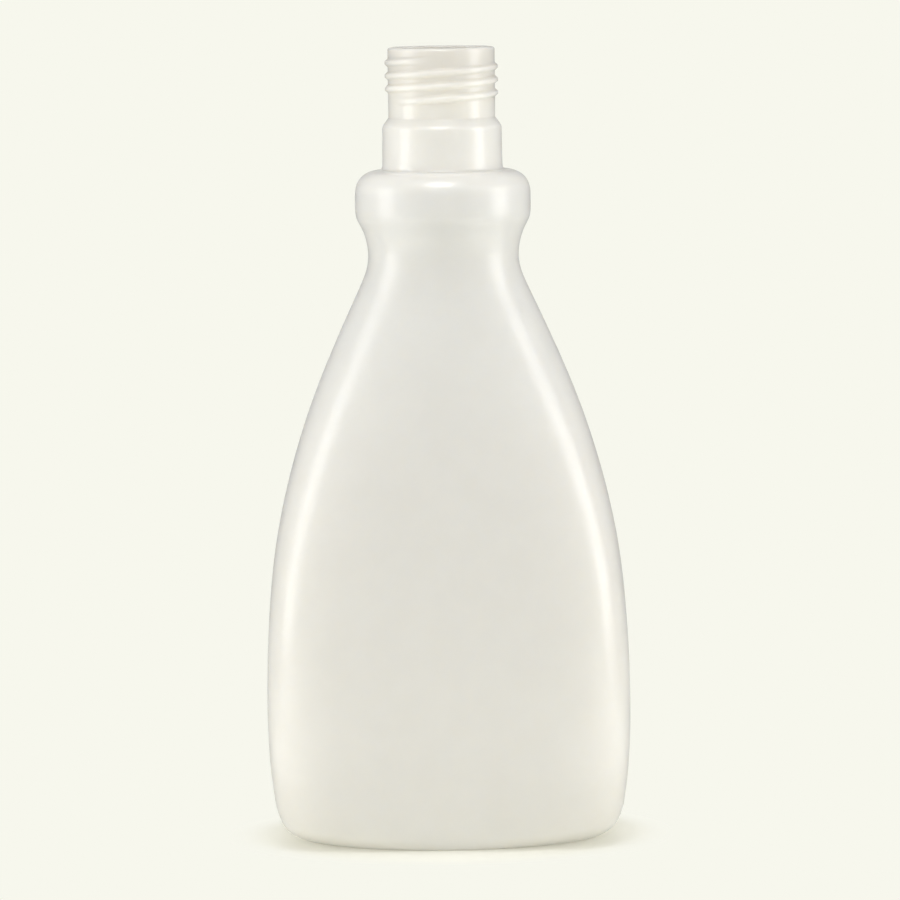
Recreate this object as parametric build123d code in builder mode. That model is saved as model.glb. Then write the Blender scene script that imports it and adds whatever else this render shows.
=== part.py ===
from build123d import *

import os
from math import cos, pi, sin

# Acetone bottle, blown in one piece from natural plastic, with an open screw neck.
# Millimetres. The origin is the centre of the foot, +Z is up and -Y is the front.

# Body: an oval with flattened faces, measured across
body_width = 90.0
body_depth = 52.0
foot_tuck_width = 8.1
foot_tuck_depth = 4.5
belly_tuck = 1.8
waist_width = 37.0
waist_depth = 30.6
collar_width = 43.0
collar_depth = 40.0

# Heights of the body's stretches, from the foot up
heel_height = 9.0
belly_rise = 24.0
flare_length = 111.6
collar_lead = 11.2
collar_band = 4.1
shoulder_rise = 5.9
shoulder_tuck = 0.6

# Neck and finish, above the ledge on the collar
finish_diameter = 26.1
finish_wall = 2.15
finish_length = 17.2
rim_radius = 0.7
rim_inner_radius = 0.35
neck_step = 1.55
neck_wall = 1.5
neck_length = 10.05
step_length = 2.75

# Screw thread on the finish: one right-hand start
thread_pitch = 3.18
thread_height = 0.76
thread_root = 2.1
thread_crest = 0.8
thread_drop = 2.8
thread_bite = 0.4
thread_start_share = 0.03
thread_turns_share = 3.11
thread_fade_share = 0.07

# Blown wall, and the recess under the foot with its weld line
wall = 1.1
foot_band = 3.2
recess_height = 4.0
recess_slope = 7.0
recess_round = 2.0
weld_end_margin = 3.7
weld_width = 1.4
weld_height = 0.5

# How far a cut runs past the face that it opens
overrun = 1.0

# Squareness of an outline: two is a true ellipse, more has flatter faces
ellipse_share = 2.0
foot_share = 1.85
body_share = 4.3
shoulder_share = 2.2

# Heel: share of its height, and of the swelling out to the belly
heel_shares = (
    (0.0, 0.0),
    (0.075, 0.15),
    (0.165, 0.33),
    (0.29, 0.56),
    (0.49, 0.755),
    (0.73, 0.89),
    (1.0, 1.0),
)

# Flare from belly to waist: share of its length, of the widening left, of the squareness left
flare_shares = (
    (0.0, 1.0, 1.0),
    (0.12, 0.988, 1.0),
    (0.25, 0.954, 0.93),
    (0.37, 0.892, 0.78),
    (0.48, 0.798, 0.6),
    (0.59, 0.67, 0.42),
    (0.69, 0.526, 0.25),
    (0.78, 0.372, 0.13),
    (0.86, 0.222, 0.05),
    (0.92, 0.105, 0.01),
    (0.965, 0.024, 0.0),
)

# Rise from waist to collar: share of its height, and of the swelling gained
collar_shares = (
    (0.0, 0.0),
    (0.2, 0.04),
    (0.44, 0.24),
    (0.66, 0.58),
    (0.82, 0.88),
    (1.0, 1.0),
)

# Shares of a quarter turn at which the collar's domed shoulder has a section
shoulder_turn_shares = (0.0, 0.2, 0.4, 0.6, 0.8, 1.0)

# Sampling of the ovals and of the thread
oval_points_count = 32
thread_sections_count = 18

foot_width = body_width - 2 * foot_tuck_width
foot_depth = body_depth - 2 * foot_tuck_depth
weld_length = foot_width - 2 * (foot_band + recess_slope + weld_end_margin)

belly_height = heel_height + belly_rise
waist_height = belly_height + flare_length
band_height = waist_height + collar_lead
shoulder_height = band_height + collar_band
ledge_height = shoulder_height + shoulder_rise
step_height = ledge_height + neck_length
finish_height = step_height + step_length
rim_height = finish_height + finish_length

finish_radius = finish_diameter / 2
bore_radius = finish_radius - finish_wall
neck_radius = finish_radius + neck_step
neck_hollow_radius = neck_radius - neck_wall


def oval(half_width, half_depth, squareness):
    """Points round an oval whose faces get flatter as the squareness grows."""
    power = 2 / squareness
    points = []
    for step in range(oval_points_count):
        turn = 2 * pi * step / oval_points_count
        across = abs(cos(turn)) ** power * half_width
        along = abs(sin(turn)) ** power * half_depth
        points.append((across if cos(turn) > 0 else -across, along if sin(turn) > 0 else -along))
    return points


def body_sections(inset):
    """Height, half width, half depth and squareness of each section, pulled in by the inset."""
    sections = []

    # Rounded heel, from the foot's outline out to the belly
    swell_width = (body_width - foot_width) / 2 - belly_tuck - inset
    swell_depth = (body_depth - foot_depth) / 2 - belly_tuck / 2 - inset
    for rise, swelling in heel_shares:
        height = inset + (heel_height - inset) * rise
        half_width = foot_width / 2 + swell_width * swelling
        half_depth = foot_depth / 2 + swell_depth * swelling
        squareness = foot_share + (body_share - foot_share) * swelling
        sections.append((height, half_width, half_depth, squareness))

    # The side fills out a little more up to the widest place
    middle = heel_height + belly_rise / 2
    tuck = belly_tuck / 4
    sections.append((middle, body_width / 2 - tuck - inset, body_depth / 2 - tuck / 2 - inset, body_share))

    # Long flare in to the waist
    for rise, fullness, square in flare_shares:
        height = belly_height + flare_length * rise
        half_width = (waist_width + (body_width - waist_width) * fullness) / 2 - inset
        half_depth = (waist_depth + (body_depth - waist_depth) * fullness) / 2 - inset
        squareness = ellipse_share + (body_share - ellipse_share) * square
        sections.append((height, half_width, half_depth, squareness))

    # Swelling from the waist to the collar
    for rise, fullness in collar_shares:
        height = waist_height + collar_lead * rise
        half_width = (waist_width + (collar_width - waist_width) * fullness) / 2 - inset
        half_depth = (waist_depth + (collar_depth - waist_depth) * fullness) / 2 - inset
        sections.append((height, half_width, half_depth, ellipse_share))

    # Domed shoulder of the collar, in to a ledge just inside the neck
    power = 2 / shoulder_share
    ledge_radius = neck_radius - shoulder_tuck
    for share in shoulder_turn_shares:
        turn = share * pi / 2
        outward = cos(turn) ** power if share < 1 else 0
        height = shoulder_height + (shoulder_rise - inset) * sin(turn) ** power
        half_width = ledge_radius + (collar_width / 2 - ledge_radius) * outward - inset
        half_depth = ledge_radius + (collar_depth / 2 - ledge_radius) * outward - inset
        sections.append((height, half_width, half_depth, ellipse_share))
    return sections


def oval_face(height, half_width, half_depth, squareness):
    """An oval as a level face."""
    with BuildSketch(Plane.XY.offset(height)) as face:
        with BuildLine():
            Spline(*oval(half_width, half_depth, squareness), periodic=True)
        make_face()
    return face.sketch


def recess_face(height, draw_in):
    """The foot's outline, drawn in all round, as a level face."""
    with BuildSketch(Plane.XY.offset(height)) as face:
        Ellipse(foot_width / 2 - draw_in, foot_depth / 2 - draw_in)
    return face.sketch


# Hollow of the body: one wall inside, with its floor raised over the recess
with BuildPart() as recess_cover:
    foot_face = recess_face(wall, foot_band - wall)
    roof_face = recess_face(wall + recess_height, foot_band + recess_slope - wall)
    loft([foot_face, roof_face])
    fillet(recess_cover.faces().sort_by(Axis.Z)[-1].edges(), recess_round + wall)

with BuildPart() as hollow:
    loft([oval_face(*section) for section in body_sections(wall)])
    add(recess_cover.part, mode=Mode.SUBTRACT)

# Recess under the foot
with BuildPart() as recess:
    loft([recess_face(0, foot_band), recess_face(recess_height, foot_band + recess_slope)])
    fillet(recess.faces().sort_by(Axis.Z)[-1].edges(), recess_round)

# Screw thread: sections in planes through the axis, each a little lower and further round
with BuildPart() as thread:
    steps = round(thread_turns_share * thread_sections_count)
    for step in range(steps + 1):
        along = step / steps * thread_turns_share
        fade = sin(min(1, along / thread_fade_share, (thread_turns_share - along) / thread_fade_share) * pi / 2)
        turn = 2 * pi * along + thread_start_share * 2 * pi
        height = rim_height - thread_drop - thread_pitch * along
        root = finish_radius - thread_bite
        crest = finish_radius - thread_bite / 2 + (thread_bite / 2 + thread_height) * fade
        outward = (-sin(turn), -cos(turn), 0)
        onward = (-cos(turn), sin(turn), 0)
        with BuildSketch(Plane(origin=(0, 0, height), x_dir=outward, z_dir=onward)):
            Polygon(
                (root, -thread_root / 2),
                (crest, -thread_crest / 2),
                (crest, thread_crest / 2),
                (root, thread_root / 2),
                align=None,
            )
    loft()

with BuildPart() as bottle:
    loft([oval_face(*section) for section in body_sections(0)])

    # Neck and finish, rooted inside the collar
    with BuildSketch(Plane.XZ):
        with BuildLine():
            Polyline((0, rim_height), (0, band_height), (neck_radius, band_height), (neck_radius, step_height))
            TangentArc((neck_radius, step_height), (finish_radius, finish_height), tangent=(0, 1))
            Line((finish_radius, finish_height), (finish_radius, rim_height - rim_radius))
            TangentArc(
                (finish_radius, rim_height - rim_radius),
                (finish_radius - rim_radius, rim_height),
                tangent=(0, 1),
            )
            Line((finish_radius - rim_radius, rim_height), (0, rim_height))
        make_face()
    revolve(axis=Axis.Z)
    add(thread.part)

    # Hollow inside, recess underneath
    add(hollow.part, mode=Mode.SUBTRACT)
    add(recess.part, mode=Mode.SUBTRACT)

    # Bore through the finish, wider in the plain neck, open to the hollow
    with BuildSketch(Plane.XZ):
        with BuildLine():
            Polyline(
                (bore_radius, rim_height - rim_inner_radius),
                (bore_radius, finish_height),
                (neck_hollow_radius, step_height),
                (neck_hollow_radius, band_height),
                (0, band_height),
                (0, rim_height + overrun),
                (bore_radius + rim_inner_radius, rim_height + overrun),
                (bore_radius + rim_inner_radius, rim_height),
            )
            TangentArc(
                (bore_radius, rim_height - rim_inner_radius),
                (bore_radius + rim_inner_radius, rim_height),
                tangent=(0, 1),
            )
        make_face()
    revolve(axis=Axis.Z, mode=Mode.SUBTRACT)

    # Weld line where the mould pinched the tube shut, along the middle of the recess
    with BuildSketch(Plane.XY.offset(recess_height - weld_height)):
        SlotOverall(weld_length, weld_width)
    extrude(amount=weld_height + wall / 2)

bottle.part.label = "bottle"
os.makedirs("parts", exist_ok=True)
export_step(bottle.part, "parts/bottle.step")
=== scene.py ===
import math
from functools import lru_cache

import bpy
import numpy as np
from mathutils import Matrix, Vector


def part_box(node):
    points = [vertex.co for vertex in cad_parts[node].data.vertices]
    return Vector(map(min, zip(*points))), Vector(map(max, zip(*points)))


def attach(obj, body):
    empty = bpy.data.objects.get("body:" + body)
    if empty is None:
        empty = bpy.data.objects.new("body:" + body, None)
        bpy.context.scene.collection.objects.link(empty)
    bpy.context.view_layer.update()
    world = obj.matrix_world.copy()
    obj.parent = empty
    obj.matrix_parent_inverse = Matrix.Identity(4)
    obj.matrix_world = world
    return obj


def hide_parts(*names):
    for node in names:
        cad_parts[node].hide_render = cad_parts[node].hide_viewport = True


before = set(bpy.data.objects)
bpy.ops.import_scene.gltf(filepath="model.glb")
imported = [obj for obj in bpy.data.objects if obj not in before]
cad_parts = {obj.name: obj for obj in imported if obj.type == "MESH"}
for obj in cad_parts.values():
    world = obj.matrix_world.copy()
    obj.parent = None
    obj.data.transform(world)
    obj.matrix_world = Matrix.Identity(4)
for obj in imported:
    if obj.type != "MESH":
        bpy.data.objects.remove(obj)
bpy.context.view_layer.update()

mm = 0.001                                  # the bottle's sizes are in millimetres
quarterTurn = math.pi / 2
trueOval = 2.0                              # squareness of a true oval, more gives flatter faces
cadLow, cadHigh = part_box("bottle")
bpy.ops.object.select_all(action="DESELECT")   # the frame arrives selected
print("frame loaded, the CAD bottle is", [round(side / mm, 1) for side in cadHigh - cadLow], "mm")

body = {
    "columns": 128,                         # vertices round the bottle
    "wall": 1.1,
    # the wall's sections, from the heel up: height, half width, half depth, squareness
    "sections": [
        (9.0, 43.19, 25.2, 4.2),
        (15.0, 44.01, 25.6, 4.3),
        (23.0, 44.68, 25.9, 4.3),
        (33.0, 44.94, 25.99, 4.3),
        (45.0, 44.74, 25.95, 4.3),
        (57.0, 44.09, 25.7, 4.2),
        (69.0, 42.93, 25.2, 3.95),
        (79.0, 41.29, 24.6, 3.65),
        (89.0, 39.04, 23.7, 3.3),
        (99.0, 36.21, 22.6, 2.95),
        (108.0, 33.18, 21.4, 2.65),
        (116.0, 30.07, 20.1, 2.4),
        (124.0, 26.62, 18.7, 2.2),
        (131.5, 23.22, 17.25, 2.08),
        (137.5, 20.44, 16.05, 2.0),
        (140.8, 19.11, 15.55, 2.0),
        (143.8, 18.51, 15.3, 2.0),
        (146.8, 18.61, 15.65, 2.0),
        (149.5, 19.21, 16.6, 2.0),
        (152.0, 20.24, 18.0, 2.0),
        (153.8, 21.14, 19.2, 2.0),
        (155.8, 21.51, 19.85, 2.0),
        (159.9, 21.5, 20.0, 2.0),
    ],
    "ringStep": 1.9,
    "collarFrom": 136.0,                    # rings stand closer from here up
    "collarStep": 0.8,
}
heel = {
    "footWidth": 36.9, "footDepth": 21.5, "footSquareness": 1.85,   # half the width and half the depth
    # height, and share of the swelling from the foot to the first section
    "swelling": [(0.0, 0.0), (0.5, 0.19), (1.3, 0.35), (2.6, 0.56), (4.4, 0.755), (6.6, 0.89), (9.0, 1.0)],
    "rings": 12,
}
recess = {
    "band": 3.2,                            # width of the ring that the bottle stands on
    "slope": 7.0, "depth": 4.0, "rings": 12,
    "roofShares": (0.03, 0.15, 0.3, 0.45, 0.6, 0.72, 0.79, 0.83, 0.86, 0.89, 0.94),
}
weld = {"halfLength": 23.0, "endRun": 1.4, "crest": 0.35, "foot": 0.95, "height": 0.5}   # pinched line
shoulder = {
    "rise": 5.9, "squareness": 2.2, "fillet": 0.6,
    "rings": 22, "insideRings": 8,
    "domeSteps": 90, "filletSteps": 12,     # points of the path that the rings are spaced along
    "pathDigits": 5,                        # columns that stand out alike share one path
}
neck = {
    "radius": 14.58, "footRadius": 14.8, "wall": 1.5,
    "firstRing": 0.5, "ringStep": 0.9,      # gap before the first ring, then between rings
    "stepFrom": 175.85, "stepTurn": 36.0,   # the rounded step up to the finish, and its slope in degrees
    "stepRadius": 2.0, "stepPoints": 8, "stepFillet": 0.5, "filletPoints": 5,
}
finish = {
    "radius": 13.05, "rim": round(cadHigh.z / mm, 3),    # as high as the CAD bottle
    "rimRound": 0.7, "rimPoints": 8, "lipRound": 0.35, "lipPoints": 6,
    "firstRing": 0.3, "ringStep": 0.15,
}
bore = {
    "radius": 10.9, "firstRing": 1.2, "ringStep": 1.0,
    "flareFrom": 0.4, "flare": 3.1, "flareSteps": 6,     # below the finish it widens to the neck's hollow
    "hollowStep": 1.2, "hollowStop": 0.6,   # the hollow's rings end this far under the shoulder's top
}
thread = {
    "pitch": 3.18, "height": 0.76, "crest": 0.5, "root": 2.3, "drop": 2.71,
    "startTurn": 0.02, "endTurn": 3.17, "fade": 0.1,
    "frontSteeper": 0.5,                    # the ridge falls faster across the front than round the back
}
seam = {
    "height": 0.09, "halfWidth": 0.22,
    "from": 2.0, "fade": 6.0,               # it starts just over the foot and rises over this run
    "columns": (0.0, 0.12, 0.26, 0.5, 1.1),   # how far from the seam the columns beside it stand
    "wideQuarter": 20.0,                    # on a quarter shorter than this they stand closer
    "traceSteps": 400,                      # points that a quarter is measured along
}
hollowRadius = neck["radius"] - neck["wall"]
shoulderPower = 2 / shoulder["squareness"]


def smoothThrough(xs, ys):
    # natural cubic through the given points, so that highlights run without a break
    xs, ys = np.array(xs, float), np.array(ys, float)
    gap, rise = np.diff(xs), np.diff(ys)
    count = len(xs)
    rows, right = np.eye(count), np.zeros(count)
    for i in range(1, count - 1):
        rows[i, i - 1:i + 2] = gap[i - 1], 2 * (gap[i - 1] + gap[i]), gap[i]
        right[i] = 6 * (rise[i] / gap[i] - rise[i - 1] / gap[i - 1])
    bend = np.linalg.solve(rows, right)

    def valueAt(x):
        i = int(np.clip(np.searchsorted(xs, x) - 1, 0, count - 2))
        left, ahead, g = x - xs[i], xs[i + 1] - x, gap[i]
        curve = (bend[i] * ahead ** 3 + bend[i + 1] * left ** 3) / (6 * g)
        return curve + (ys[i] / g - bend[i] * g / 6) * ahead + (ys[i + 1] / g - bend[i + 1] * g / 6) * left

    return valueAt


heights, widths, depths, squares = zip(*body["sections"])
widthAt = smoothThrough(heights, widths)
depthAt = smoothThrough(heights, depths)
squareAt = smoothThrough(heights, squares)
shoulderTop = heights[-1] + shoulder["rise"] + shoulder["fillet"]


def easeIn(value):
    # 0 to 1 with a soft start and a soft end
    value = np.clip(value, 0, 1)
    return value * value * (3 - 2 * value)


def bodyRings(inset):
    # heel, then the body up to the top of the collar's band: half width, half depth, height, squareness
    rings = []
    heelTop = heights[0]
    levels, shares = zip(*heel["swelling"])
    swellingAt = smoothThrough([math.sqrt(level) for level in levels], shares)
    for i in range(heel["rings"]):
        root = math.sqrt(heelTop) * i / heel["rings"]
        share = swellingAt(root)
        rings.append((
            heel["footWidth"] + (widths[0] - inset - heel["footWidth"]) * share,
            heel["footDepth"] + (depths[0] - inset - heel["footDepth"]) * share,
            inset + (heelTop - inset) * root * root / heelTop,
            heel["footSquareness"] + (squares[0] - heel["footSquareness"]) * share,
        ))
    height = heelTop
    while height < heights[-1]:
        rings.append((widthAt(height) - inset, depthAt(height) - inset, height, squareAt(height)))
        height += body["ringStep"] if height < body["collarFrom"] else body["collarStep"]
    rings.append((widths[-1] - inset, depths[-1] - inset, heights[-1], squares[-1]))
    return rings


def recessRings(lift, grow):
    # from the middle of the recess out to the ring that stands on the table
    innerWidth = heel["footWidth"] - recess["band"] - recess["slope"] + grow
    innerDepth = heel["footDepth"] - recess["band"] - recess["slope"] + grow
    roof = lift + recess["depth"]
    rings = [(innerWidth * share, innerDepth * share, roof, trueOval) for share in recess["roofShares"]]
    for i in range(recess["rings"] + 1):
        down = i / recess["rings"]
        out = recess["slope"] * down
        height = lift + recess["depth"] * (1 - easeIn(down))
        rings.append((innerWidth + out, innerDepth + out, height, trueOval))
    return rings


def arc(centreOut, centreUp, radius, start, end, points):
    # points on an arc in the wall's section, angles in quarter turns
    return [
        (centreOut + radius * math.cos(t * quarterTurn), centreUp + radius * math.sin(t * quarterTurn))
        for t in np.linspace(start, end, points)
    ]


def neckSection():
    # the plain neck, the rounded step and the finish up to the rim, then down the bore: radius, height
    points = []
    top, foot = neck["stepFrom"], heights[-1]
    for height in np.arange(shoulderTop + neck["firstRing"], top, neck["ringStep"]):
        share = (height - foot) / (top - foot)
        points.append((neck["footRadius"] + (neck["radius"] - neck["footRadius"]) * share, height))
    turn, roundOff = math.radians(neck["stepTurn"]), neck["stepRadius"]
    quarters = turn / quarterTurn
    points += arc(neck["radius"] - roundOff, top, roundOff, 0, quarters, neck["stepPoints"])
    out, up = points[-1]
    fillet = neck["stepFillet"]
    coneEnd = finish["radius"] + fillet * (1 - math.cos(turn))
    coneTop = up + (out - coneEnd) / math.tan(turn)
    points.append(((out + coneEnd) / 2, (up + coneTop) / 2))
    wallFoot = coneTop + fillet * math.sin(turn)
    points += arc(finish["radius"] + fillet, wallFoot, fillet, 2 + quarters, 2, neck["filletPoints"])

    rim, rimRound, lip = finish["rim"], finish["rimRound"], finish["lipRound"]
    upright = np.arange(wallFoot + finish["firstRing"], rim - rimRound, finish["ringStep"])
    points += [(finish["radius"], height) for height in upright]
    points += arc(finish["radius"] - rimRound, rim - rimRound, rimRound, 0, 1, finish["rimPoints"])
    points += arc(bore["radius"] + lip, rim - lip, lip, 1, 2, finish["lipPoints"])
    boreHeights = np.arange(rim - bore["firstRing"], wallFoot, -bore["ringStep"])
    points += [(bore["radius"], height) for height in boreHeights]
    for i in range(bore["flareSteps"] + 1):
        share = i / bore["flareSteps"]
        radius = bore["radius"] + (hollowRadius - bore["radius"]) * easeIn(share)
        points.append((radius, wallFoot - bore["flareFrom"] - bore["flare"] * share))
    hollowTop = wallFoot - bore["flareFrom"] - bore["flare"] - bore["hollowStep"]
    hollowFoot = foot + shoulder["rise"] - bore["hollowStop"]
    hollowHeights = np.arange(hollowTop, hollowFoot, -bore["hollowStep"])
    return points + [(hollowRadius, height) for height in hollowHeights]


@lru_cache(maxsize=None)
def shoulderPath(spread):
    # over the collar's domed shoulder and up the neck's fillet, where the collar stands out by the spread
    fillet, foot, base = shoulder["fillet"], neck["footRadius"], heights[-1]
    path = [
        (
            foot + fillet + (spread - fillet) * math.cos(t) ** shoulderPower,
            base + shoulder["rise"] * math.sin(t) ** shoulderPower,
        )
        for t in np.linspace(0, quarterTurn, shoulder["domeSteps"])
    ]
    path += arc(foot + fillet, base + shoulder["rise"] + fillet, fillet, 3, 2, shoulder["filletSteps"])[1:]
    path = np.array(path)
    run = np.concatenate([[0], np.cumsum(np.hypot(*np.diff(path, axis=0).T))])
    marks = np.linspace(0, run[-1], shoulder["rings"] + 1)[1:]
    return np.interp(marks, run, path[:, 0]), np.interp(marks, run, path[:, 1])


def insideShoulderRings():
    # the hollow under the collar's shoulder, from the neck's hollow out to the collar's
    reachX, reachY = widths[-1] - body["wall"] - hollowRadius, depths[-1] - body["wall"] - hollowRadius
    rings = []
    for i in range(shoulder["insideRings"]):
        turn = quarterTurn * (1 - i / shoulder["insideRings"])
        out, up = math.cos(turn) ** shoulderPower, math.sin(turn) ** shoulderPower
        height = heights[-1] + (shoulder["rise"] - body["wall"]) * up
        rings.append((hollowRadius + reachX * out, hollowRadius + reachY * out, height, trueOval))
    return rings


def wallRings():
    # the whole wall as one walk: under the foot, up the outside, over the rim, down the inside
    rings = recessRings(0, 0)
    outsideStart = len(rings)
    rings += bodyRings(0)
    shoulderStart = len(rings)
    for i in range(shoulder["rings"]):
        share = (i + 1) / shoulder["rings"]
        radius = widths[-1] + (neck["footRadius"] - widths[-1]) * share
        rings.append((radius, radius, heights[-1] + (shoulderTop - heights[-1]) * share, trueOval))
    neckStart = len(rings)
    rings += [(out, out, up, trueOval) for out, up in neckSection()]
    insideStart = max(range(neckStart, len(rings)), key=lambda k: rings[k][2])
    rings += insideShoulderRings()
    rings += bodyRings(body["wall"])[::-1]
    rings += recessRings(body["wall"], body["wall"])[::-1]
    return rings, outsideStart, shoulderStart, neckStart, insideStart


def extrudeWall(rings):
    # a circle drawn out ring by ring, each resized to the wall's width and depth there
    first = rings[0]
    bpy.ops.mesh.primitive_circle_add(
        vertices=body["columns"], radius=first[0] * mm, fill_type="NOTHING", location=(0, 0, first[2] * mm),
    )
    wall = bpy.context.object
    bpy.ops.object.mode_set(mode="EDIT")
    bpy.ops.mesh.select_all(action="SELECT")
    bpy.ops.transform.resize(value=(1, first[1] / first[0], 1))
    for below, ring in zip(rings, rings[1:]):
        bpy.ops.mesh.extrude_region_move(TRANSFORM_OT_translate={"value": (0, 0, (ring[2] - below[2]) * mm)})
        bpy.ops.transform.resize(value=(ring[0] / below[0], ring[1] / below[1], 1))
    bpy.ops.object.mode_set(mode="OBJECT")
    bpy.ops.object.transform_apply(location=True, rotation=True, scale=True)
    return wall


def ovalReach(halfWidth, halfDepth, squareness, turns):
    # distance from the axis to the oval, in each direction
    across = np.abs(np.cos(turns) / halfWidth) ** squareness
    along = np.abs(np.sin(turns) / halfDepth) ** squareness
    return (across + along) ** (-1 / squareness)


def columnTurns(halfWidth, halfDepth, squareness):
    # directions of the columns in a quarter: close beside the mould seam, then evenly spaced
    turns = np.linspace(0, quarterTurn, seam["traceSteps"])
    reach = ovalReach(halfWidth, halfDepth, squareness, turns)
    x, y = reach * np.cos(turns), reach * np.sin(turns)
    run = np.concatenate([[0], np.cumsum(np.hypot(np.diff(x), np.diff(y)))])
    beside = np.array(seam["columns"]) * min(1, run[-1] / seam["wideQuarter"])
    rest = np.linspace(beside[-1], run[-1], body["columns"] // 4 - len(beside) + 2)[1:]
    return np.interp(np.concatenate([beside, rest]), run, turns)


def allRound(quarter):
    # a quarter's directions mirrored to the whole turn
    half = np.concatenate([quarter, math.pi - quarter[-2::-1]])
    return np.concatenate([half[:-1], half[:-1] + math.pi])


def threadRise(turns, height):
    # how far the ridge stands out of the neck at this height, in each direction
    lap = (-quarterTurn - turns) / (2 * math.pi) % 1    # 0 at the front, then left, back and right
    rise = np.zeros(len(turns))
    for down in range(math.ceil(thread["endTurn"])):
        along = lap + down
        wave = thread["frontSteeper"] * np.sin(2 * math.pi * along) / (2 * math.pi)
        ridge = finish["rim"] - thread["drop"] - thread["pitch"] * (along + wave)
        fade = np.minimum(along - thread["startTurn"], thread["endTurn"] - along) / thread["fade"]
        flank = (thread["root"] - 2 * np.abs(height - ridge)) / (thread["root"] - thread["crest"])
        rise = np.maximum(rise, thread["height"] * easeIn(fade) * easeIn(flank))
    return rise


def weldRise(x, y):
    # the line where the mould pinched the tube shut, along the middle of the recess
    across = easeIn((weld["foot"] - np.abs(y)) / (weld["foot"] - weld["crest"]))
    return weld["height"] * across * easeIn((weld["halfLength"] - np.abs(x)) / weld["endRun"])


def seamRise(y, height):
    # the faint line that the mould's halves left, up both sides
    beside = np.abs(y) / seam["halfWidth"]
    return seam["height"] * np.exp(-beside ** 2) * min(1, (height - seam["from"]) / seam["fade"])


def shapeWall(wall, rings, outsideStart, shoulderStart, neckStart, insideStart):
    # move the extruded vertices onto the flat-faced ovals, then raise the thread, the weld and the seam
    columns = body["columns"]
    co = np.empty(len(wall.data.vertices) * 3)
    wall.data.vertices.foreach_get("co", co)
    co = co.reshape(len(rings), columns, 3) / mm
    firstTurns = np.arctan2(co[0, :, 1] / rings[0][1], co[0, :, 0] / rings[0][0])
    column = np.round(firstTurns / (2 * math.pi / columns)).astype(int) % columns   # of each vertex in a ring
    collarTurns = columnTurns(widths[-1], depths[-1], trueOval)
    neckTurns = columnTurns(neck["footRadius"], neck["footRadius"], trueOval)
    for k, (halfWidth, halfDepth, height, squareness) in enumerate(rings):
        if shoulderStart <= k < neckStart:
            ring = k - shoulderStart
            turns = allRound(collarTurns + (neckTurns - collarTurns) * (ring + 1) / shoulder["rings"])
            spread = ovalReach(widths[-1], depths[-1], trueOval, turns) - neck["footRadius"]
            paths = [shoulderPath(round(float(out), shoulder["pathDigits"])) for out in spread]
            reach, up = (np.array([path[axis][ring] for path in paths]) for axis in (0, 1))
        else:
            turns = allRound(columnTurns(halfWidth, halfDepth, squareness))
            reach, up = ovalReach(halfWidth, halfDepth, squareness, turns), np.full(columns, height)
        if neckStart <= k < insideStart:
            reach = reach + threadRise(turns, height)
        if k <= len(recess["roofShares"]):
            up = up - weldRise(reach * np.cos(turns), reach * np.sin(turns))
        if outsideStart <= k < insideStart and height > seam["from"]:
            reach = reach + seamRise(reach * np.sin(turns), height)
        co[k, :, 0], co[k, :, 1] = (reach * np.cos(turns))[column], (reach * np.sin(turns))[column]
        co[k, :, 2] = up[column]
    wall.data.vertices.foreach_set("co", (co * mm).ravel())
    wall.data.update()


def closePoles(wall):
    # the first ring and the last one are each filled and drawn to a point
    count = len(wall.data.vertices)
    for rim in (range(body["columns"]), range(count - body["columns"], count)):
        bpy.ops.object.mode_set(mode="EDIT")
        bpy.ops.mesh.select_all(action="DESELECT")
        bpy.ops.object.mode_set(mode="OBJECT")
        for i in rim:
            wall.data.vertices[i].select = True
        bpy.ops.object.mode_set(mode="EDIT")
        bpy.ops.mesh.edge_face_add()
        bpy.ops.mesh.poke()
        bpy.ops.object.mode_set(mode="OBJECT")


rings, *starts = wallRings()
bottle = extrudeWall(rings)
bottle.name = "bottle_shell"
print("wall extruded:", len(rings), "rings,", len(bottle.data.vertices), "vertices")
shapeWall(bottle, rings, *starts)
closePoles(bottle)
bpy.ops.object.mode_set(mode="EDIT")
bpy.ops.mesh.select_all(action="SELECT")
bpy.ops.mesh.normals_make_consistent(inside=False)
bpy.ops.object.mode_set(mode="OBJECT")
bpy.ops.object.shade_smooth()
print("wall shaped")


def addNode(tree, kind, **values):
    node = tree.nodes.new(kind)
    for name, value in values.items():
        setattr(node, name, value)
    return node


plastic = {                                 # the lengths here are in metres
    # colour by height: the body's own colour at the bottom, above it painted light: painted lighter at the
    # waist to lift the shade under the collar and on the neck for the light that comes through it, painted
    # darker at the finish and the rim, where the shaded inside shows
    "colourAndPaintedLight": [
        (0.085, (0.804, 0.766, 0.692)),
        (0.140, (0.825, 0.793, 0.715)),
        (0.170, (0.835, 0.808, 0.74)),
        (0.186, (0.80, 0.775, 0.71)),
        (0.1945, (0.71, 0.688, 0.635)),
    ],
    "top": 0.2,                             # height at the end of the colour ramp
    "ior": 1.54,
    "skin": 0.8, "skinRoughness": 0.25,     # the skin that the cold mould gave it
    "milk": 1.0, "milkDepth": 0.003, "milkRadius": (1.0, 0.95, 0.85),
    "noiseFrom": 0.3, "noiseTo": 0.7,       # the middle of the noise, which the clouds and the satin use
    "clouds": {"scale": 120.0, "detail": 3.0, "low": 0.991, "high": 1.008},   # soft unevenness of the colour
    "satin": {"scale": 160.0, "low": 0.56, "high": 0.64},           # roughness under the skin
    "grain": {"scale": 1400.0, "height": 0.000004},                 # fine texture taken from the mould
    "draw": {"scale": 420.0, "stretch": 0.03, "height": 0.000005},  # faint upright lines of the drawn tube
}


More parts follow.
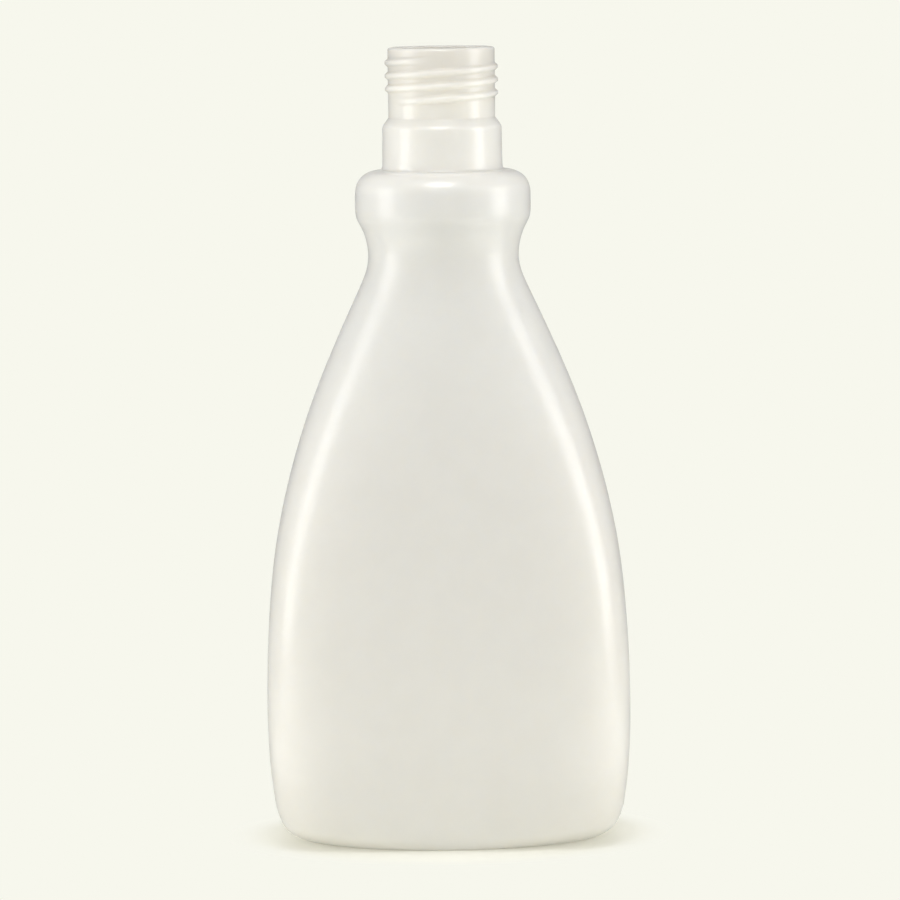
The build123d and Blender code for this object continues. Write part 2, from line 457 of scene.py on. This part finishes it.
def noiseIn(tree, place, scale, stretch=1.0, detail=2.0):
    # even noise fixed to the bottle, drawn out along its height where the stretch is under 1
    squeeze = addNode(tree, "ShaderNodeVectorMath", operation="MULTIPLY")
    squeeze.inputs[1].default_value = (1, 1, stretch)
    noise = addNode(tree, "ShaderNodeTexNoise")
    noise.inputs["Scale"].default_value = scale
    noise.inputs["Detail"].default_value = detail
    tree.links.new(place.outputs["Object"], squeeze.inputs[0])
    tree.links.new(squeeze.outputs[0], noise.inputs["Vector"])
    return noise.outputs["Fac"]


def spreadOut(tree, value, low, high):
    # the middle of the noise, brought between two values
    level = addNode(tree, "ShaderNodeMapRange", interpolation_type="SMOOTHSTEP")
    level.inputs["From Min"].default_value = plastic["noiseFrom"]
    level.inputs["From Max"].default_value = plastic["noiseTo"]
    level.inputs["To Min"].default_value = low
    level.inputs["To Max"].default_value = high
    tree.links.new(value, level.inputs["Value"])
    return level.outputs["Result"]


def colourWithPaintedLight(tree, place):
    # the body's own colour low down, then painted light: lighter at the waist and neck, painted shade at the
    # finish and rim
    apart = addNode(tree, "ShaderNodeSeparateXYZ")
    rise = addNode(tree, "ShaderNodeMath", operation="DIVIDE")
    rise.inputs[1].default_value = plastic["top"]
    colour = addNode(tree, "ShaderNodeValToRGB")
    colour.color_ramp.interpolation = "EASE"
    stops = colour.color_ramp.elements
    ready = len(stops)                      # a new ramp comes with stops of its own
    for i, (height, shade) in enumerate(plastic["colourAndPaintedLight"]):
        stop = stops[i] if i < ready else stops.new(1)
        stop.position, stop.color = height / plastic["top"], (*shade, 1)
    tree.links.new(place.outputs["Object"], apart.inputs[0])
    tree.links.new(apart.outputs["Z"], rise.inputs[0])
    tree.links.new(rise.outputs[0], colour.inputs["Fac"])
    return colour.outputs["Color"]


def naturalPlastic():
    # uncoloured polyethylene: milky, satin, light gets a few millimetres into it
    material = bpy.data.materials.new("natural_plastic")
    material.use_nodes = True
    tree = material.node_tree
    link = tree.links.new
    shader = tree.nodes["Principled BSDF"]
    shader.inputs["Coat Weight"].default_value = plastic["skin"]
    shader.inputs["Coat Roughness"].default_value = plastic["skinRoughness"]
    shader.inputs["IOR"].default_value = plastic["ior"]
    shader.inputs["Subsurface Weight"].default_value = plastic["milk"]
    shader.inputs["Subsurface Radius"].default_value = plastic["milkRadius"]
    shader.inputs["Subsurface Scale"].default_value = plastic["milkDepth"]
    place = addNode(tree, "ShaderNodeTexCoord")

    clouds, satin, grain, draw = plastic["clouds"], plastic["satin"], plastic["grain"], plastic["draw"]
    cloudNoise = noiseIn(tree, place, clouds["scale"], detail=clouds["detail"])
    tint = addNode(tree, "ShaderNodeVectorMath", operation="SCALE")
    link(colourWithPaintedLight(tree, place), tint.inputs[0])
    link(spreadOut(tree, cloudNoise, clouds["low"], clouds["high"]), tint.inputs["Scale"])
    link(tint.outputs[0], shader.inputs["Base Color"])
    satinNoise = noiseIn(tree, place, satin["scale"])
    link(spreadOut(tree, satinNoise, satin["low"], satin["high"]), shader.inputs["Roughness"])

    surface = None
    for noise, height in (
        (noiseIn(tree, place, draw["scale"], stretch=draw["stretch"]), draw["height"]),
        (noiseIn(tree, place, grain["scale"]), grain["height"]),
    ):
        bump = addNode(tree, "ShaderNodeBump")
        bump.inputs["Distance"].default_value = height
        link(noise, bump.inputs["Height"])
        if surface:
            link(surface, bump.inputs["Normal"])
        surface = bump.outputs["Normal"]
    link(surface, shader.inputs["Normal"])
    link(surface, shader.inputs["Coat Normal"])
    return material


bottle.data.materials.append(naturalPlastic())
print("plastic made")

# Soft boxes at the sides and in front, and boards that lie on the floor, show in the plastic as its
# highlights. The fills give plain light and show in nothing. Turn is the angle from the camera's side,
# to the right; away, up, across and tall are in metres; glow is how bright the face is.
sideBox = {"away": 0.36, "up": 0.172, "across": 0.15, "tall": 0.29}
board = {"away": 0.22, "up": 0.001, "across": 0.22, "tall": 0.26, "glow": 1.3, "lies": True}
sideFill = {"away": 0.8, "up": 0.25, "across": 0.5, "tall": 0.5, "plain": True}
wideFill = {"away": 1.3, "across": 1.0, "tall": 0.5, "plain": True}
boxes = {
    "box_left": {"turn": -75.5, "glow": 4.1, **sideBox},
    "box_right": {"turn": 75.5, "glow": 4.9, **sideBox},
    "box_front": {"turn": -4.0, "glow": 13.0, "away": 0.75, "up": 0.93, "across": 0.46, "tall": 0.42},
    "board_left": {"turn": -68.0, **board},
    "board_right": {"turn": 68.0, **board},
    "fill_front": {"turn": 0.0, "glow": 3.65, "up": 0.16, **wideFill},
    "fill_left": {"turn": -82.0, "glow": 3.6, **sideFill},
    "fill_right": {"turn": 82.0, "glow": 3.3, **sideFill},
    "fill_back": {"turn": 180.0, "glow": 2.8, "up": 0.3, **wideFill},
    "fill_top": {
        "turn": 0.0, "glow": 2.6, "away": 0.12, "up": 1.0, "across": 0.6, "tall": 0.6, "plain": True,
    },
}
aim = {"height": 0.13, "levelBelow": 0.3}   # the boxes look at this height, the low ones straight ahead


def addBox(name, turn, glow, away, up, across, tall, lies=False, plain=False):
    turn = math.radians(turn)
    place = Vector((math.sin(turn) * away, -math.cos(turn) * away, up))
    bpy.ops.object.light_add(type="AREA", location=place)
    light = bpy.context.object
    light.name = name
    light.data.shape = "RECTANGLE"
    light.data.size, light.data.size_y = across, tall
    light.data.energy = glow * math.pi * across * tall
    facing = Vector((0, 0, aim["height"])) - place
    if up < aim["levelBelow"]:
        facing.z = 0
    light.rotation_euler = (math.pi, 0, turn) if lies else facing.to_track_quat("-Z", "Y").to_euler()
    light.visible_camera = False
    light.visible_diffuse, light.visible_glossy = plain, not plain


for name, box in boxes.items():
    addBox(name, **box)

paper = {
    "colour": (0.930, 0.930, 0.847),
    "floorSize": 0.7,
    "fadeFrom": 0.029, "fadeTo": 0.04,      # half depths of the ovals where it turns into plain paper
    "depthShare": 0.72,                     # depth of these ovals over their width
    "lift": 0.22,                           # share of plain paper that stays in the shadow
    "mirrored": 0.5,                        # how bright the floor shows in the plastic
}
air = {
    "level": 0.46,                          # even light from all round
    "dim": 0.16,                            # how bright it shows in the plastic
    "windowFrom": 0.985, "windowTo": 0.997,   # only straight to the back does the plastic mirror the paper
}

bpy.ops.mesh.primitive_plane_add(size=paper["floorSize"], location=(0, 0, 0))
floor = bpy.context.object
floor.name = "floor"


def seenDirectly(tree):
    # 1 for what the camera, a mirror or a glass sees, 0 for light that falls on something
    path = addNode(tree, "ShaderNodeLightPath")
    total = path.outputs["Is Camera Ray"]
    for name in ("Is Glossy Ray", "Is Transmission Ray"):
        either = addNode(tree, "ShaderNodeMath", operation="MAXIMUM")
        tree.links.new(total, either.inputs[0])
        tree.links.new(path.outputs[name], either.inputs[1])
        total = either.outputs[0]
    return path, total


def floorPaper():
    # near the bottle the floor takes its shadow, further out it is the plain colour of the paper
    material = bpy.data.materials.new("paper")
    material.use_nodes = True
    tree = material.node_tree
    tree.nodes.clear()
    place = addNode(tree, "ShaderNodeTexCoord")
    flat = addNode(tree, "ShaderNodeVectorMath", operation="MULTIPLY")
    flat.inputs[1].default_value = (paper["depthShare"], 1, 1)
    far = addNode(tree, "ShaderNodeVectorMath", operation="LENGTH")
    fade = addNode(tree, "ShaderNodeMapRange", interpolation_type="SMOOTHERSTEP")
    fade.inputs["From Min"].default_value = paper["fadeFrom"]
    fade.inputs["From Max"].default_value = paper["fadeTo"]
    seen, direct = seenDirectly(tree)
    share = addNode(tree, "ShaderNodeMath", operation="MULTIPLY")
    lift = addNode(tree, "ShaderNodeMath", operation="MAXIMUM")
    lift.inputs[1].default_value = paper["lift"]
    matt = addNode(tree, "ShaderNodeBsdfDiffuse")
    matt.inputs["Color"].default_value = (*paper["colour"], 1)
    plain = addNode(tree, "ShaderNodeEmission")
    plain.inputs["Color"].default_value = (*paper["colour"], 1)
    mirrored = addNode(tree, "ShaderNodeMapRange")
    mirrored.inputs["To Min"].default_value = 1
    mirrored.inputs["To Max"].default_value = paper["mirrored"]
    mix = addNode(tree, "ShaderNodeMixShader")
    out = addNode(tree, "ShaderNodeOutputMaterial")
    link = tree.links.new
    link(place.outputs["Object"], flat.inputs[0])
    link(flat.outputs[0], far.inputs[0])
    link(far.outputs["Value"], fade.inputs["Value"])
    link(fade.outputs["Result"], share.inputs[0])
    link(direct, share.inputs[1])
    link(seen.outputs["Is Glossy Ray"], mirrored.inputs["Value"])
    link(mirrored.outputs["Result"], plain.inputs["Strength"])
    link(share.outputs[0], lift.inputs[0])
    link(lift.outputs[0], mix.inputs[0])
    link(matt.outputs[0], mix.inputs[1])
    link(plain.outputs[0], mix.inputs[2])
    link(mix.outputs[0], out.inputs["Surface"])
    return material


floor.data.materials.append(floorPaper())


def paperWorld(world):
    # the camera sees the paper, the bottle gets even light and mirrors a dimmer room
    world.use_nodes = True
    tree = world.node_tree
    tree.nodes.clear()
    backdrop = addNode(tree, "ShaderNodeBackground")
    backdrop.inputs["Color"].default_value = (*paper["colour"], 1)
    room = addNode(tree, "ShaderNodeBackground")
    room.inputs["Color"].default_value = (1, 1, 1, 1)
    place = addNode(tree, "ShaderNodeTexCoord")
    apart = addNode(tree, "ShaderNodeSeparateXYZ")
    dim = addNode(tree, "ShaderNodeMapRange")
    dim.inputs["To Min"].default_value = air["level"]
    dim.inputs["To Max"].default_value = air["dim"]
    window = addNode(tree, "ShaderNodeMapRange", interpolation_type="SMOOTHSTEP")
    window.inputs["From Min"].default_value = air["windowFrom"]
    window.inputs["From Max"].default_value = air["windowTo"]
    seen, direct = seenDirectly(tree)
    share = addNode(tree, "ShaderNodeMath", operation="MULTIPLY")
    whole = addNode(tree, "ShaderNodeMath", operation="MAXIMUM")
    mix = addNode(tree, "ShaderNodeMixShader")
    out = addNode(tree, "ShaderNodeOutputWorld")
    link = tree.links.new
    link(seen.outputs["Is Glossy Ray"], dim.inputs["Value"])
    link(dim.outputs["Result"], room.inputs["Strength"])
    link(place.outputs["Generated"], apart.inputs[0])
    link(apart.outputs["Y"], window.inputs["Value"])
    link(window.outputs["Result"], share.inputs[0])
    link(direct, share.inputs[1])
    link(share.outputs[0], whole.inputs[0])
    link(seen.outputs["Is Camera Ray"], whole.inputs[1])
    link(whole.outputs[0], mix.inputs[0])
    link(room.outputs[0], mix.inputs[1])
    link(backdrop.outputs[0], mix.inputs[2])
    link(mix.outputs[0], out.inputs[0])


scene = bpy.context.scene
scene.world = scene.world or bpy.data.worlds.new("studio")
paperWorld(scene.world)
print("studio made")

view = {                                    # metres, the roll in degrees, the lens in millimetres
    "away": 1.15, "height": 0.231, "aimHeight": 0.09636, "aside": 0.00102,
    "roll": 0.7, "lens": 187.2, "sensor": 36,
}
bpy.ops.object.camera_add()
camera = bpy.context.object
tilt = math.atan2(view["height"] - view["aimHeight"], view["away"])
camera.location = (view["aside"], -view["away"], view["height"])
camera.rotation_euler = (quarterTurn - tilt, 0, 0)
camera.rotation_euler.rotate_axis("Z", -math.radians(view["roll"]))
camera.data.lens = view["lens"]
camera.data.sensor_width = view["sensor"]
scene.camera = camera
scene.view_settings.view_transform = "Standard"
print("camera set")

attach(bottle, "root")
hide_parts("bottle")
